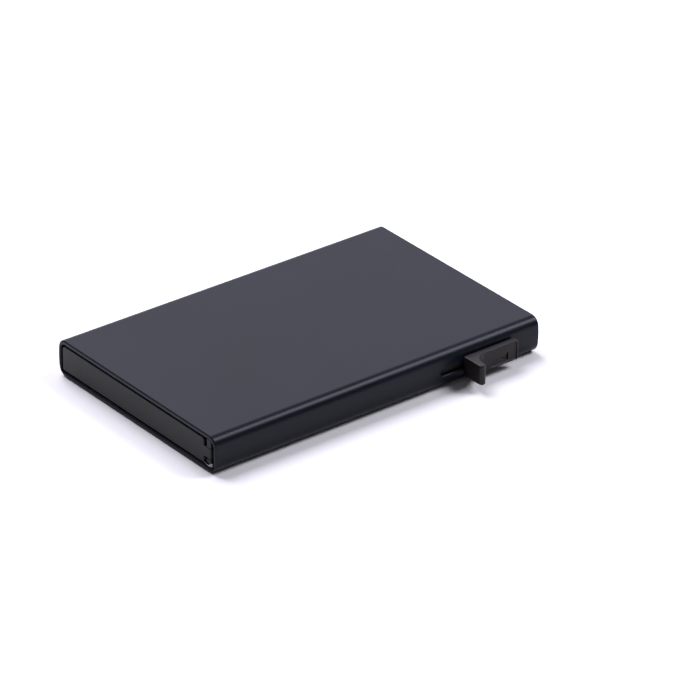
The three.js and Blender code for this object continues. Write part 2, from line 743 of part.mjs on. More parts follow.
const wallet = new THREE.Group();
wallet.add(caseShell());
wallet.add(endCap());
wallet.add(trayFloor());
wallet.add(trayRoof());
wallet.add(trayScrew('tray_screw_inner', postLowY));
wallet.add(trayScrew('tray_screw_outer', postHighY));
wallet.add(hingeBlock());
wallet.add(doorPin());
wallet.add(door());
wallet.add(doorSpring());
wallet.add(thumbSlider());
wallet.add(sliderCarriage());
wallet.add(carriageScrew());
wallet.add(dragSpring());
wallet.add(cardPusher());
pusherPinHeights().forEach((z, i) => wallet.add(pusherPin(['pusher_pin_lower', 'pusher_pin_upper'][i], z)));
wallet.add(sliderBumper());
wallet.add(pad('floor_pad', trayFloorTop + restGap));
wallet.add(pad('roof_pad', trayRoofBottom - restGap - padThickness));
[['left', 1], ['right', -1]].forEach(([hand, side]) => {
  wallet.add(cardSpring(`card_spring_${hand}`, side));
  wallet.add(cardSpringRivet(`card_spring_rivet_${hand}`, side));
});

export default wallet;
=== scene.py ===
# %% [markdown]
# # A slim metal card wallet
# The wallet is a flat tube of blasted and dyed aluminium. A black door closes one end, a cap closes the
# other, and a thumb slider on one long side pushes the cards out. The working model is loaded first. It
# holds every size and every moving body, and all the pieces made here take their places from it.

# %% Load the working model
import json
import math

import bmesh
import bpy
import numpy as np
from mathutils import Matrix, Vector


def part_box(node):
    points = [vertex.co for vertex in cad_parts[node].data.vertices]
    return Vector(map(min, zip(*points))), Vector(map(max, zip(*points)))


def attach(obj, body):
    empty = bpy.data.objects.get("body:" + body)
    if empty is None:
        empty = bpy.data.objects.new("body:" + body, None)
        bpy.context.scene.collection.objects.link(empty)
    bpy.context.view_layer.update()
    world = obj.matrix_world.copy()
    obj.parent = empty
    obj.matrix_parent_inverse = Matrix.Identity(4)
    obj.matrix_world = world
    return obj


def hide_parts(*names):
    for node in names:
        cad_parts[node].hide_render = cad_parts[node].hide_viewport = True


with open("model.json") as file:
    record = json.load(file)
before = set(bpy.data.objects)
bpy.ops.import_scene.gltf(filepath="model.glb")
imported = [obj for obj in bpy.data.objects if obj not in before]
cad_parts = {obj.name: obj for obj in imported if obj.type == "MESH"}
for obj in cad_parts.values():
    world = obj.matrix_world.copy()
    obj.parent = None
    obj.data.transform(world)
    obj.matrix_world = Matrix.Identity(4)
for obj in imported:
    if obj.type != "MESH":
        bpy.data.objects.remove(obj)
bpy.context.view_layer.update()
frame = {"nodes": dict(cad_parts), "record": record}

MM = 0.001
scene = bpy.context.scene
print("pieces in the working model:", len(frame["nodes"]))


def box_mm(node):
    """Lowest and highest corner of a piece of the working model, in millimetres."""
    low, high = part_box(node)
    return np.array(low) / MM, np.array(high) / MM


# %% [markdown]
# ## Camera
# A product picture of a small flat thing is taken from far away with a long lens, so that its long edges
# stay nearly parallel. The camera is placed by a compass angle, a height angle and a distance from the
# point it looks at, as a tripod is set up.

# %% Place the camera
view_azimuth = math.radians(-38.59)
view_elevation = math.radians(28.75)
view_roll = math.radians(0.54)
view_distance = 1.2353
aim_point = Vector((0.00825, -0.00905, 0.0049))

forward = Vector((-math.sin(view_azimuth) * math.cos(view_elevation),
                  math.cos(view_azimuth) * math.cos(view_elevation),
                  -math.sin(view_elevation)))
level_right = forward.cross(Vector((0, 0, 1))).normalized()
level_up = level_right.cross(forward)
right = level_right * math.cos(view_roll) + level_up * math.sin(view_roll)
up = right.cross(forward)

camera_data = bpy.data.cameras.new("camera")
camera_data.lens = 264.5
camera_data.sensor_width = 36
camera_data.clip_start = 0.05
camera = bpy.data.objects.new("camera", camera_data)
scene.collection.objects.link(camera)
rows = Matrix((right, up, -forward)).transposed()
camera.matrix_world = Matrix.Translation(aim_point - forward * view_distance) @ rows.to_4x4()
scene.camera = camera
print("camera stands at", [round(v, 3) for v in camera.matrix_world.translation])

# %% [markdown]
# ## Shader maths
# Blender's shader nodes can be written like sums. A small class holds one output socket, and its plus,
# minus and times signs add Math nodes. One method makes any other node: its settings go in first, then
# the values or links of its inputs.

# %% A socket that can be added and multiplied


class Wire:
    """One output socket of a node tree, with arithmetic."""

    def __init__(self, tree, socket):
        self.tree = tree
        self.socket = socket

    def node(self, kind, settings=None, output=0, **inputs):
        made = self.tree.nodes.new(kind)
        for key, value in (settings or {}).items():
            setattr(made, key, value)
        for key, value in inputs.items():
            name = int(key[1:]) if key[0] == "i" and key[1:].isdigit() else key.replace("_", " ")
            target = made.inputs[name]
            if isinstance(value, Wire):
                self.tree.links.new(value.socket, target)
            else:
                target.default_value = value
        return Wire(self.tree, made.outputs[output])

    def math(self, operation, *values):
        inputs = {f"i{place}": value for place, value in enumerate(values)}
        return self.node("ShaderNodeMath", {"operation": operation}, **inputs)

    def __add__(self, other):
        return self.math("ADD", self, other)

    __radd__ = __add__

    def __sub__(self, other):
        return self.math("SUBTRACT", self, other)

    def __rsub__(self, other):
        return self.math("SUBTRACT", other, self)

    def __mul__(self, other):
        return self.math("MULTIPLY", self, other)

    __rmul__ = __mul__

    def smooth(self, start, end):
        """0 before start, 1 after end, and a soft step between."""
        settings = {"interpolation_type": "SMOOTHSTEP"}
        return self.node("ShaderNodeMapRange", settings, i0=self, i1=start, i2=end, i3=0.0, i4=1.0)

    def blend(self, low, high):
        """A colour between two colours, by this value."""
        made = self.tree.nodes.new("ShaderNodeMix")
        made.data_type = "RGBA"
        self.tree.links.new(self.socket, made.inputs["Factor"])
        for name, value in (("A", low), ("B", high)):
            target = [s for s in made.inputs if s.name == name and s.type == "RGBA"][0]
            if isinstance(value, Wire):
                self.tree.links.new(value.socket, target)
            else:
                target.default_value = value
        return Wire(self.tree, [s for s in made.outputs if s.type == "RGBA"][0])


def new_material(name):
    """A material, its tree's first wire (the object's own coordinates) and its main shader."""
    material = bpy.data.materials.new(name)
    material.use_nodes = True
    tree = material.node_tree
    shader = tree.nodes["Principled BSDF"]
    place = Wire(tree, tree.nodes.new("ShaderNodeTexCoord").outputs["Object"])
    return material, place, shader


def feed(shader, name, value):
    """Sets one of the main shader's sockets, to a number, a colour or a wire."""
    if isinstance(value, Wire):
        value.tree.links.new(value.socket, shader.inputs[name])
    else:
        shader.inputs[name].default_value = value


def noise(place, size_mm, detail=2.0, roughness=0.5):
    """Soft random spots about size_mm across."""
    return place.node("ShaderNodeTexNoise", Vector=place, Scale=1000.0 / size_mm,
                      Detail=detail, Roughness=roughness)


def bump(place, height, depth_mm, strength=1.0):
    return place.node("ShaderNodeBump", Strength=strength, Distance=depth_mm * MM, Height=height)


def stretched(place, along_x, along_y, along_z):
    """The coordinates with each axis drawn out or pressed together."""
    return place.node("ShaderNodeVectorMath", {"operation": "MULTIPLY"}, i0=place,
                      i1=(along_x, along_y, along_z))


print("shader tools ready")

# %% [markdown]
# ## Case finish
# The tube is blasted with fine glass beads and then dyed blue-black in the anodising bath. The blasting
# leaves tiny shallow pits, so the metal shines softly all over and never shows a sharp reflection. The
# pits could be modelled, but they are a tenth of a millimetre across, so a bump gives them better. The
# dye lies under a clear layer of oxide, which is why the shine itself is grey and not blue. Faint lines
# from the extrusion die run the whole length under the blasting.

# %% Blasted, dyed aluminium


def anodised_material():
    material, place, shader = new_material("anodised_case")
    grain = noise(place, 0.3, 3.0, 0.6)
    pits = noise(place, 0.13, 2.0, 0.55)
    cloud = noise(place, 24, 2.0, 0.5)
    die_lines = noise(stretched(place, 0.02, 1.0, 1.0), 0.7, 2.0, 0.5)
    speck = grain.smooth(0.56, 0.76)
    dyed = (cloud * 0.5 + grain * 0.35 + die_lines * 0.15).smooth(0.34, 0.66)
    colour = dyed.blend((0.0034, 0.0048, 0.0088, 1), (0.0058, 0.0076, 0.0132, 1))
    feed(shader, "Base Color", (speck * 0.22).blend(colour, (0.028, 0.030, 0.038, 1)))
    feed(shader, "Metallic", 0.0)
    feed(shader, "Roughness", cloud * 0.05 + grain * 0.10 + (die_lines * 0.03 + 0.225))
    feed(shader, "IOR", 1.5)
    feed(shader, "Specular IOR Level", 0.15)
    feed(shader, "Normal", bump(place, grain * 0.5 + pits * 0.4 + die_lines * 0.1, 0.016, 0.6))
    return material


anodised = anodised_material()
print("made", anodised.name)

# %% [markdown]
# ## Moulded plastics
# The door, the cap and the slider are moulded. A spark-eroded mould leaves a fine leathery grain on the
# door and cap, while the slider comes from a smoother mould and is glossier and a little warmer in colour.
# Handling polishes the high spots of the grain, so the roughness follows the same pattern as the bump.

# %% Plastics


def plastic_material(name, dark, light, roughness, grain_mm, depth_mm, shine=0.5):
    material, place, shader = new_material(name)
    grain = noise(place, grain_mm, 3.0, 0.6)
    patch = noise(place, 9, 2.0, 0.5)
    feed(shader, "Base Color", (patch * 0.6 + grain * 0.4).smooth(0.3, 0.7).blend(dark, light))
    feed(shader, "Roughness", patch * 0.08 + grain * 0.10 + (roughness - 0.09))
    feed(shader, "IOR", 1.49)
    feed(shader, "Specular IOR Level", shine)
    feed(shader, "Normal", bump(place, grain, depth_mm, 0.5))
    return material


black_plastic = plastic_material("black_plastic", (0.0080, 0.0080, 0.0086, 1), (0.0120, 0.0120, 0.0128, 1),
                                 0.38, 0.22, 0.009, 0.19)
slider_plastic = plastic_material("slider_plastic", (0.0086, 0.0070, 0.0072, 1), (0.0114, 0.0094, 0.0098, 1),
                                  0.36, 0.35, 0.004, 0.20)
tray_plastic = plastic_material("tray_plastic", (0.012, 0.012, 0.013, 1), (0.020, 0.020, 0.022, 1),
                                0.6, 0.5, 0.010, 0.35)
rubber = plastic_material("rubber", (0.008, 0.008, 0.008, 1), (0.014, 0.014, 0.014, 1), 0.8, 0.4, 0.012, 0.3)
print("made four plastics")

# %% [markdown]
# ## Steel and felt
# The pins and screws are turned, which leaves fine rings, and the springs are bright drawn strip and wire,
# which keeps long scratches. Felt is a mat of fibres without any shine: a fuzzy sheen on top of a spotted
# colour comes closest, and loose fibres are laid over it later.

# %% Steel and felt


def steel_material(name, dark, light, roughness, stretch):
    material, place, shader = new_material(name)
    fine = noise(stretched(place, *stretch), 0.25, 3.0, 0.6)
    worn = noise(place, 2.5, 2.0, 0.5)
    feed(shader, "Base Color", fine.blend(dark, light))
    feed(shader, "Metallic", 1.0)
    feed(shader, "Roughness", fine * 0.14 + worn * 0.08 + roughness)
    feed(shader, "Normal", bump(place, fine, 0.006, 0.5))
    return material


def felt_material():
    material, place, shader = new_material("felt")
    fibres = noise(stretched(place, 1.0, 0.35, 1.0), 0.3, 4.0, 0.65)
    clump = noise(place, 1.6, 2.0, 0.5)
    colour = (fibres * 0.7 + clump * 0.3).smooth(0.32, 0.68)
    feed(shader, "Base Color", colour.blend((0.012, 0.012, 0.014, 1), (0.040, 0.040, 0.045, 1)))
    feed(shader, "Roughness", clump * 0.05 + 0.92)
    feed(shader, "Sheen Weight", 0.35)
    feed(shader, "Sheen Roughness", 0.5)
    feed(shader, "Normal", bump(place, fibres, 0.06, 0.7))
    return material


steel = steel_material("steel", (0.50, 0.50, 0.51, 1), (0.66, 0.66, 0.67, 1), 0.18, (1.0, 1.0, 0.2))
spring_steel = steel_material("spring_steel", (0.40, 0.40, 0.42, 1), (0.58, 0.58, 0.60, 1), 0.16,
                              (0.08, 1.0, 1.0))
felt = felt_material()
print("made steel, spring steel and felt")

# %% [markdown]
# ## Ways of making a piece
# Every piece is one closed mesh that stays at the origin. A loft joins rings of points, which suits
# anything with one outline. The plain inner pieces start from the working model's own faces and get
# rounded edges, because a moulded edge is never sharp. Each finished piece is shaded smooth, except across
# real edges, takes the material of the piece it stands for, and is hung on the body that carries it, while
# that piece of the working model is hidden.

# %% Mesh tools
SLOT_LOOKS = {"anodised_case": anodised, "black_plastic": black_plastic, "slider_plastic": slider_plastic,
              "tray_plastic": tray_plastic, "steel": steel, "spring_steel": spring_steel, "felt": felt,
              "rubber": rubber}
NODE_SLOTS = {entry["node"]: entry["material_slot"] for entry in frame["record"]["subparts"]}


def new_object(name, points_mm, faces):
    mesh = bpy.data.meshes.new(name)
    mesh.from_pydata([tuple(float(v) * MM for v in p) for p in points_mm], [], faces)
    mesh.validate()
    made = bpy.data.objects.new(name, mesh)
    scene.collection.objects.link(made)
    return made


def face_outward(made):
    work = bmesh.new()
    work.from_mesh(made.data)
    bmesh.ops.recalc_face_normals(work, faces=work.faces)
    work.to_mesh(made.data)
    work.free()
    return made


def loft(name, rings, around=False):
    """Joins rings of points into one body: closed with two caps, or running round to the first ring."""
    count = len(rings[0])
    points = [p for ring in rings for p in ring]
    faces = []
    steps = len(rings) if around else len(rings) - 1
    for level in range(steps):
        low, high = level * count, ((level + 1) % len(rings)) * count
        for i in range(count):
            j = (i + 1) % count
            faces.append((low + i, low + j, high + j, high + i))
    if not around:
        faces.append(tuple(range(count))[::-1])
        faces.append(tuple(range((len(rings) - 1) * count, len(rings) * count)))
    return face_outward(new_object(name, points, faces))


def baked(made):
    """The object with its modifiers worked into a plain mesh."""
    graph = bpy.context.evaluated_depsgraph_get()
    mesh = bpy.data.meshes.new_from_object(made.evaluated_get(graph))
    made.modifiers.clear()
    old = made.data
    made.data = mesh
    bpy.data.meshes.remove(old)
    return made


def combined(made, tools, operation="DIFFERENCE"):
    """Cuts the tools out of an object, or joins them to it."""
    for tool in tools:
        step = made.modifiers.new("cut", "BOOLEAN")
        step.operation = operation
        step.object = tool
        step.solver = "EXACT"
    baked(made)
    for tool in tools:
        bpy.data.objects.remove(tool)
    return made


def rounded(made, width_mm, segments=3, angle=30):
    """Rounds every edge that is sharper than the angle."""
    work = bmesh.new()
    work.from_mesh(made.data)
    bmesh.ops.remove_doubles(work, verts=work.verts, dist=0.002 * MM)
    bmesh.ops.dissolve_limit(work, angle_limit=math.radians(0.5), verts=work.verts, edges=work.edges)
    work.to_mesh(made.data)
    work.free()
    step = made.modifiers.new("rounding", "BEVEL")
    step.width = width_mm * MM
    step.segments = segments
    step.limit_method = "ANGLE"
    step.angle_limit = math.radians(angle)
    return baked(made)


def settle(made, node, *others, body=None, angle=32):
    """Shades a finished piece and places it on the body of the working model's piece."""
    mesh = made.data
    mesh.materials.clear()
    mesh.materials.append(SLOT_LOOKS[NODE_SLOTS[node]])
    mesh.polygons.foreach_set("material_index", [0] * len(mesh.polygons))
    mesh.shade_smooth()
    mesh.set_sharp_from_angle(angle=math.radians(angle))
    step = made.modifiers.new("even shading", "WEIGHTED_NORMAL")
    step.keep_sharp = True
    baked(made)
    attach(made, body or BODY_OF[node])
    if body is None or body == BODY_OF[node]:
        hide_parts(node, *others)
    print(made.name, len(made.data.polygons), "faces")
    return made


def copy_of(name, node):
    """A new object with the faces of a piece of the working model."""
    source = frame["nodes"][node]
    mesh = source.data.copy()
    mesh.name = name
    mesh.transform(source.matrix_world)
    made = bpy.data.objects.new(name, mesh)
    scene.collection.objects.link(made)
    return made


BODY_OF = {node: body for body, nodes in frame["record"]["behaviour"]["bodies"].items() for node in nodes}


def arc(centre, radius, start, end, steps):
    """Points of an arc, from one angle to the other in degrees."""
    angles = np.radians(np.linspace(start, end, steps + 1))
    return [(centre[0] + radius * math.cos(a), centre[1] + radius * math.sin(a)) for a in angles]


def rounded_rectangle(low_u, high_u, low_v, high_v, radius, steps=8):
    radii = radius if isinstance(radius, tuple) else (radius,) * 4
    corners = ((high_u, high_v, -1, -1, 0), (low_u, high_v, 1, -1, 90),
               (low_u, low_v, 1, 1, 180), (high_u, low_v, -1, 1, 270))
    points = []
    for (u, v, turn_u, turn_v, start), r in zip(corners, radii):
        points += arc((u + turn_u * r, v + turn_v * r), r, start, start + 90, steps)
    return points


print("mesh tools ready")

# %% [markdown]
# ## The case
# The case is a length of extruded tube, sawn off and lightly chamfered at both ends. Its section has flat
# faces, rounded corners and long sides that swell very slightly. The side is one long arc, and each corner
# arc meets it without a kink, as it would in the extrusion die. The tube could be a solid with a hole cut
# through, but one loft that runs along the outside, over the lip, back along the inside and over the other
# lip gives both surfaces at once and keeps the lips evenly round.

# %% Section of the tube
case_low, case_high = box_mm("case_shell")
half_length = case_high[0]
height = case_high[2]
widest = case_high[1]
FACE_WALL = 1.2
SIDE_WALL = 0.9
TOP_RADIUS = 2.5
BOTTOM_RADIUS = 3.2
INNER_TOP_RADIUS = 1.6
INNER_BOTTOM_RADIUS = 0.7
SIDE_BULGE = 0.1
LIP = 0.28
inner_half = widest - SIDE_BULGE - SIDE_WALL
floor_z = FACE_WALL
ceiling_z = height - FACE_WALL


def tube_section(half, low_z, high_z, low_radius, high_radius, bulge, inset, steps=14):
    """Points (y, z) once round the tube, with the same number of points for every inset."""
    low_z, high_z, half = low_z + inset, high_z - inset, half - inset
    low_radius, high_radius = low_radius - inset, high_radius - inset
    middle = (low_z + low_radius + high_z - high_radius) / 2
    rise = high_z - high_radius - middle
    side_radius = rise ** 2 / (2 * bulge) if bulge > 0 else 1e5
    side_centre = half + bulge - side_radius

    def corner(radius, centre_z):
        reach = side_radius - radius
        y = side_centre + math.sqrt(reach ** 2 - (centre_z - middle) ** 2)
        return y, math.degrees(math.asin((centre_z - middle) / reach))

    top_y, top_turn = corner(high_radius, high_z - high_radius)
    low_y, low_turn = corner(low_radius, low_z + low_radius)
    side = arc((low_y, low_z + low_radius), low_radius, -90, low_turn, steps)
    side += arc((side_centre, middle), side_radius, low_turn, top_turn, 8)[1:-1]
    side += arc((top_y, high_z - high_radius), high_radius, top_turn, 90, steps)
    return side + [(-y, z) for y, z in reversed(side)]


def outer_section(inset):
    return tube_section(widest - SIDE_BULGE, 0, height, BOTTOM_RADIUS, TOP_RADIUS, SIDE_BULGE, inset)


def inner_section(inset):
    return tube_section(inner_half, floor_z, ceiling_z, INNER_BOTTOM_RADIUS, INNER_TOP_RADIUS, 0, inset)


print("tube section has", len(outer_section(0)), "points")

# %% Tube with rounded lips


def lip_steps(sign, outward):
    """Places along the tube and insets over one chamfered lip edge, from the long face to the end face."""
    path = ((1.0, 0.0), (0.84, 0.05), (0.05, 0.84), (0.0, 1.0))
    return [(sign * (half_length - back * LIP), outward * drop * LIP) for back, drop in path]


def ring_at(x, section):
    return [(x, y, z) for y, z in section]


rings = [ring_at(x, outer_section(inset)) for x, inset in reversed(lip_steps(-1, 1))]
rings += [ring_at(x, outer_section(inset)) for x, inset in lip_steps(1, 1)]
rings += [ring_at(x, inner_section(inset)) for x, inset in reversed(lip_steps(1, -1))]
rings += [ring_at(x, inner_section(inset)) for x, inset in lip_steps(-1, -1)]
case_tube = loft("case_tube", rings, around=True)
print("tube lofted from", len(rings), "rings")

# %% [markdown]
# The slider's slot is milled through the side after extruding. Its ends are half round, as a cutter leaves
# them, and its edge is broken so that it doesn't cut a thumb. The cutter here is a rounded bar that flares
# a little where it leaves the metal.

# %% Slot through the side
slider_low, slider_high = box_mm("thumb_slider")
middle_z = height / 2
SLOT_HEIGHT = 2.3
SLOT_GAP = 0.2
SLIDER_TRAVEL = 16.0
NECK_INSET = 1.6
NECK_LENGTH = 4.6
neck_high_x = slider_high[0] - NECK_INSET
neck_low_x = neck_high_x - NECK_LENGTH
slot_low_x = neck_low_x - SLIDER_TRAVEL - SLOT_GAP
slot_high_x = neck_high_x + SLOT_GAP


def slot_ring(y, grow):
    half = SLOT_HEIGHT / 2 + grow
    outline = rounded_rectangle(slot_low_x - grow, slot_high_x + grow, middle_z - half, middle_z + half,
                                half - 0.001, 12)
    return [(x, y, z) for x, z in outline]


slot_cutter = loft("slot_cutter", [slot_ring(-widest - 0.5, 0.62), slot_ring(-widest + 0.04, 0.12),
                                   slot_ring(-widest + 0.12, 0.03), slot_ring(-widest + 0.20, 0.0),
                                   slot_ring(-inner_half + 1.0, 0.0)])
combined(case_tube, [slot_cutter])
case_tube.name = "case_tube"
settle(case_tube, "case_shell")

# %% [markdown]
# ## End cap
# A moulded cap closes the far end. It sits a little below the lips, and two snap hooks hold it in windows
# in the tray. The working model already has this shape, so its faces are kept and their edges rounded.

# %% End cap
end_cap = rounded(copy_of("end_cap_moulding", "end_cap"), 0.12)
settle(end_cap, "end_cap")

# %% [markdown]
# ## Tray
# Inside lies a two-part tray: a floor with side rails and a roof screwed on top. The cards would stick to
# a flat sheet, so fine glide ribs run along the floor in the direction the cards move. The ribs repeat
# evenly, which suits Geometry Nodes: a row of points carries one rounded rib each. A rib is a ball pulled
# apart into a rod. The ball has an odd number of bands, so its middle band becomes the straight part.

# %% Glide ribs by rule


def node_group(name, sizes):
    """A new tree with named size inputs. Returns the tree, its sizes as wires and their identifiers."""
    tree = bpy.data.node_groups.new(name, "GeometryNodeTree")
    tree.interface.new_socket(name="Geometry", in_out="INPUT", socket_type="NodeSocketGeometry")
    for size, kind in sizes.items():
        tree.interface.new_socket(name=size, in_out="INPUT", socket_type=kind)
    tree.interface.new_socket(name="Geometry", in_out="OUTPUT", socket_type="NodeSocketGeometry")
    source = tree.nodes.new("NodeGroupInput")
    wires = {socket.name: Wire(tree, socket) for socket in source.outputs if socket.name}
    return tree, wires


def end_group(tree, geometry, material):
    """Ends a tree with real faces, smooth shading and the material."""
    real = geometry.node("GeometryNodeRealizeInstances", Geometry=geometry)
    smooth = real.node("GeometryNodeSetShadeSmooth", Geometry=real)
    looked = smooth.node("GeometryNodeSetMaterial", Geometry=smooth, Material=material)
    tree.links.new(looked.socket, tree.nodes.new("NodeGroupOutput").inputs["Geometry"])


def grown(made, tree, values):
    """Runs a tree on an object with its sizes set, and keeps the result as a plain mesh."""
    step = made.modifiers.new("rule", "NODES")
    step.node_group = tree
    for item in tree.interface.items_tree:
        if item.in_out == "INPUT" and item.name in values:
            step[item.identifier] = values[item.name]
    return baked(made)


def rib_group():
    tree, size = node_group("glide_ribs", {"Rib length": "NodeSocketFloat", "Rib radius": "NodeSocketFloat",
                                           "Rib spacing": "NodeSocketFloat", "Rib count": "NodeSocketInt"})
    length, radius = size["Rib length"], size["Rib radius"]
    spacing, count = size["Rib spacing"], size["Rib count"]
    step = spacing.node("ShaderNodeCombineXYZ", Y=spacing)
    row = count.node("GeometryNodeMeshLine", {"mode": "OFFSET"}, Count=count, Offset=step)
    ball = radius.node("GeometryNodeMeshUVSphere", Segments=16, Rings=9, Radius=radius)
    place = ball.node("GeometryNodeInputPosition")
    level = place.node("ShaderNodeSeparateXYZ", output=2, Vector=place)
    pull = level.math("SIGN", level) * (length * 0.5)
    offset = pull.node("ShaderNodeCombineXYZ", Z=pull)
    rib = ball.node("GeometryNodeSetPosition", Geometry=ball, Offset=offset)
    lying = rib.node("GeometryNodeTransform", Geometry=rib, Rotation=(0, math.pi / 2, 0))
    placed = row.node("GeometryNodeInstanceOnPoints", Points=row, Instance=lying)
    end_group(tree, placed, tray_plastic)
    return tree


tray_low, tray_high = box_mm("tray_floor")
pad_low, pad_high = box_mm("floor_pad")
bay_low_y = pad_low[1] - 4.0
bay_high_y = pad_high[1] + 4.0
TRAY_SHEET = 0.75
tray_top = tray_low[2] + TRAY_SHEET
RIB_COUNT = 9
rib_spacing = (bay_high_y - bay_low_y) / (RIB_COUNT - 1)
rib_length = tray_high[0] - 14 - (pad_high[0] + 1.5)
ribs = grown(new_object("glide_ribs", [(0, 0, 0)], []), rib_group(),
             {"Rib length": rib_length * MM, "Rib radius": 0.22 * MM, "Rib spacing": rib_spacing * MM,
              "Rib count": RIB_COUNT})
ribs.data.transform(Matrix.Translation(Vector(((pad_high[0] + 1.5 + rib_length / 2) * MM, bay_low_y * MM,
                                               (tray_top - 0.04) * MM))))
print("glide ribs:", len(ribs.data.polygons), "faces")

# %% Tray floor and roof
tray_base = rounded(copy_of("tray_base", "tray_floor"), 0.1)
tray_base = combined(tray_base, [ribs], "UNION")
settle(tray_base, "tray_floor")
tray_lid = rounded(copy_of("tray_lid", "tray_roof"), 0.08)
settle(tray_lid, "tray_roof")

# %% [markdown]
# ## Screws, pins and rivets
# Each small metal part keeps its place from the working model and gets a broken edge. Their drives and
# shanks are cut by the working model already.

# %% Small metal parts
for small_name, node, width in (("inner_tray_screw", "tray_screw_inner", 0.05),
                                ("outer_tray_screw", "tray_screw_outer", 0.05),
                                ("carriage_fixing", "carriage_screw", 0.05),
                                ("lower_pusher_pin", "pusher_pin_lower", 0.08),
                                ("upper_pusher_pin", "pusher_pin_upper", 0.08),
                                ("hinge_pin", "door_pin", 0.08),
                                ("left_rivet", "card_spring_rivet_left", 0.05),
                                ("right_rivet", "card_spring_rivet_right", 0.05),
                                ("left_card_spring", "card_spring_left", 0.03),
                                ("right_card_spring", "card_spring_right", 0.03),
                                ("drag_strip", "drag_spring", 0.03)):
    settle(rounded(copy_of(small_name, node), width, 2), node)

# %% [markdown]
# ## Hinge block
# A small moulding behind the door's corner holds the pin. Its two ears stand above and below the door's
# knuckle and fill the corner of the opening, and the upper one follows the round corner of the tube.

# %% Hinge block
hinge_block = rounded(copy_of("hinge_moulding", "hinge_block"), 0.1)
settle(hinge_block, "hinge_block")

# %% [markdown]
# ## Door
# The door is a flat panel with softly rounded edges. A narrow slit separates it from the hinge ears, and a
# neck bridges the slit at mid height to reach the knuckle on the pin. On the inside, pockets keep the
# moulding thin. The panel is lofted from front to back, so that its edge runs round evenly, and the neck
# and knuckle are joined to it.

# %% Door panel
door_low, door_high = box_mm("door")
door_front, door_back = door_low[0], door_high[0]
pivot_x = (door_front + door_back) / 2
KNUCKLE_RADIUS = 0.85
KNUCKLE_HEIGHT = 2.8
SLIT = 1.05
pivot_y = door_low[1] + KNUCKLE_RADIUS
door_edge_y = pivot_y + KNUCKLE_RADIUS + SLIT
door_centre_z = (door_low[2] + door_high[2]) / 2
knuckle_low = door_centre_z - KNUCKLE_HEIGHT / 2
knuckle_high = door_centre_z + KNUCKLE_HEIGHT / 2


def door_ring(x, inset):
    outline = rounded_rectangle(door_edge_y + inset, door_high[1] - inset, door_low[2] + inset,
                                door_high[2] - inset,
                                (1.15 - inset, 0.6 - inset, 0.6 - inset, 0.5 - inset), 10)
    return [(x, y, z) for y, z in outline]


def edge_rings(low_x, high_x, radius, make_ring, steps=4):
    """Rings from one face to the other with a quarter round at both edges."""
    turns = np.radians(np.linspace(0, 90, steps + 1))
    rings = [make_ring(low_x + radius * (1 - math.sin(t)), radius * (1 - math.cos(t)))
             for t in reversed(turns)]
    rings += [make_ring(high_x - radius * (1 - math.sin(t)), radius * (1 - math.cos(t))) for t in turns]
    return rings


DOOR_EDGE = 0.22
panel = loft("door_panel", edge_rings(door_front, door_back, DOOR_EDGE, door_ring))
print("door panel lofted")

# %% Knuckle, neck and pockets
PIN_RADIUS = 0.35
PIN_GAP = 0.07
KNUCKLE_CORNER = 0.4


def upright_ring(x, y, z, radius, count=48):
    turns = [2 * math.pi * i / count for i in range(count)]
    return [(x + radius * math.cos(t), y + radius * math.sin(t), z) for t in turns]


def block_ring(y, low_x, high_x, low_z, high_z, radius):
    return [(x, y, z) for x, z in rounded_rectangle(low_x, high_x, low_z, high_z, radius, 5)]


def knuckle_ring(z, inset):
    return [(x, y, z) for x, y in rounded_rectangle(door_front + inset, door_back - inset,
                                                    door_low[1] + inset, door_edge_y,
                                                    KNUCKLE_CORNER - inset, 8)]


knuckle = loft("knuckle", edge_rings(knuckle_low, knuckle_high, 0.12, knuckle_ring, 3))
neck = loft("neck", [block_ring(y, door_front, door_back, knuckle_low, knuckle_high, 0.14)
                     for y in (pivot_y + 0.02, door_edge_y + 0.5)])
bore = loft("bore", [upright_ring(pivot_x, pivot_y, z, PIN_RADIUS + PIN_GAP) for z in (0, height)])
pockets = []
POCKETS = 3
pocket_start = door_edge_y + 4.9
pocket_pitch = (door_high[1] - 1.1 - pocket_start + 1.5) / POCKETS
for i in range(POCKETS):
    low_y = pocket_start + i * pocket_pitch
    high_y = low_y + pocket_pitch - 1.5
    pockets.append(loft(f"pocket_{i}", [[(x, y, z) for y, z in
                                         rounded_rectangle(low_y - grow, high_y + grow,
                                                           door_low[2] + 1.1 - grow,
                                                           door_high[2] - 1.1 + grow, 0.5 + grow, 6)]
                                        for x, grow in ((door_front + 0.9, -0.12), (door_front + 1.02, 0.0),
                                                        (door_back - 0.1, 0.0), (door_back + 0.3, 0.4))]))
combined(panel, [knuckle, neck], "UNION")
combined(panel, [bore] + pockets)
settle(panel, "door")

# %% [markdown]
# ## Door spring
# A fine wire is wound round the pin below the lower ear. One end leans against the hinge block, and the
# other runs along under the door and hooks up into it. When the door swings, the hooked end goes along and
# the coil stays, so the wire is made as two bodies that meet at the coil. Wire follows a path, which
# suits Geometry Nodes: the tree turns a line of points into a curve and draws a round section along it.

# %% Wire by rule


def wire_group():
    tree, size = node_group("wire", {"Wire radius": "NodeSocketFloat", "Section points": "NodeSocketInt"})
    path = size["Geometry"].node("GeometryNodeMeshToCurve", Mesh=size["Geometry"])
    section = path.node("GeometryNodeCurvePrimitiveCircle", Radius=size["Wire radius"],
                        Resolution=size["Section points"])
    drawn = path.node("GeometryNodeCurveToMesh", Curve=path, i1=section)
    tube = [s for s in drawn.socket.node.inputs if s.name == "Fill Caps"][0]
    tube.default_value = True
    end_group(tree, drawn, spring_steel)
    return tree


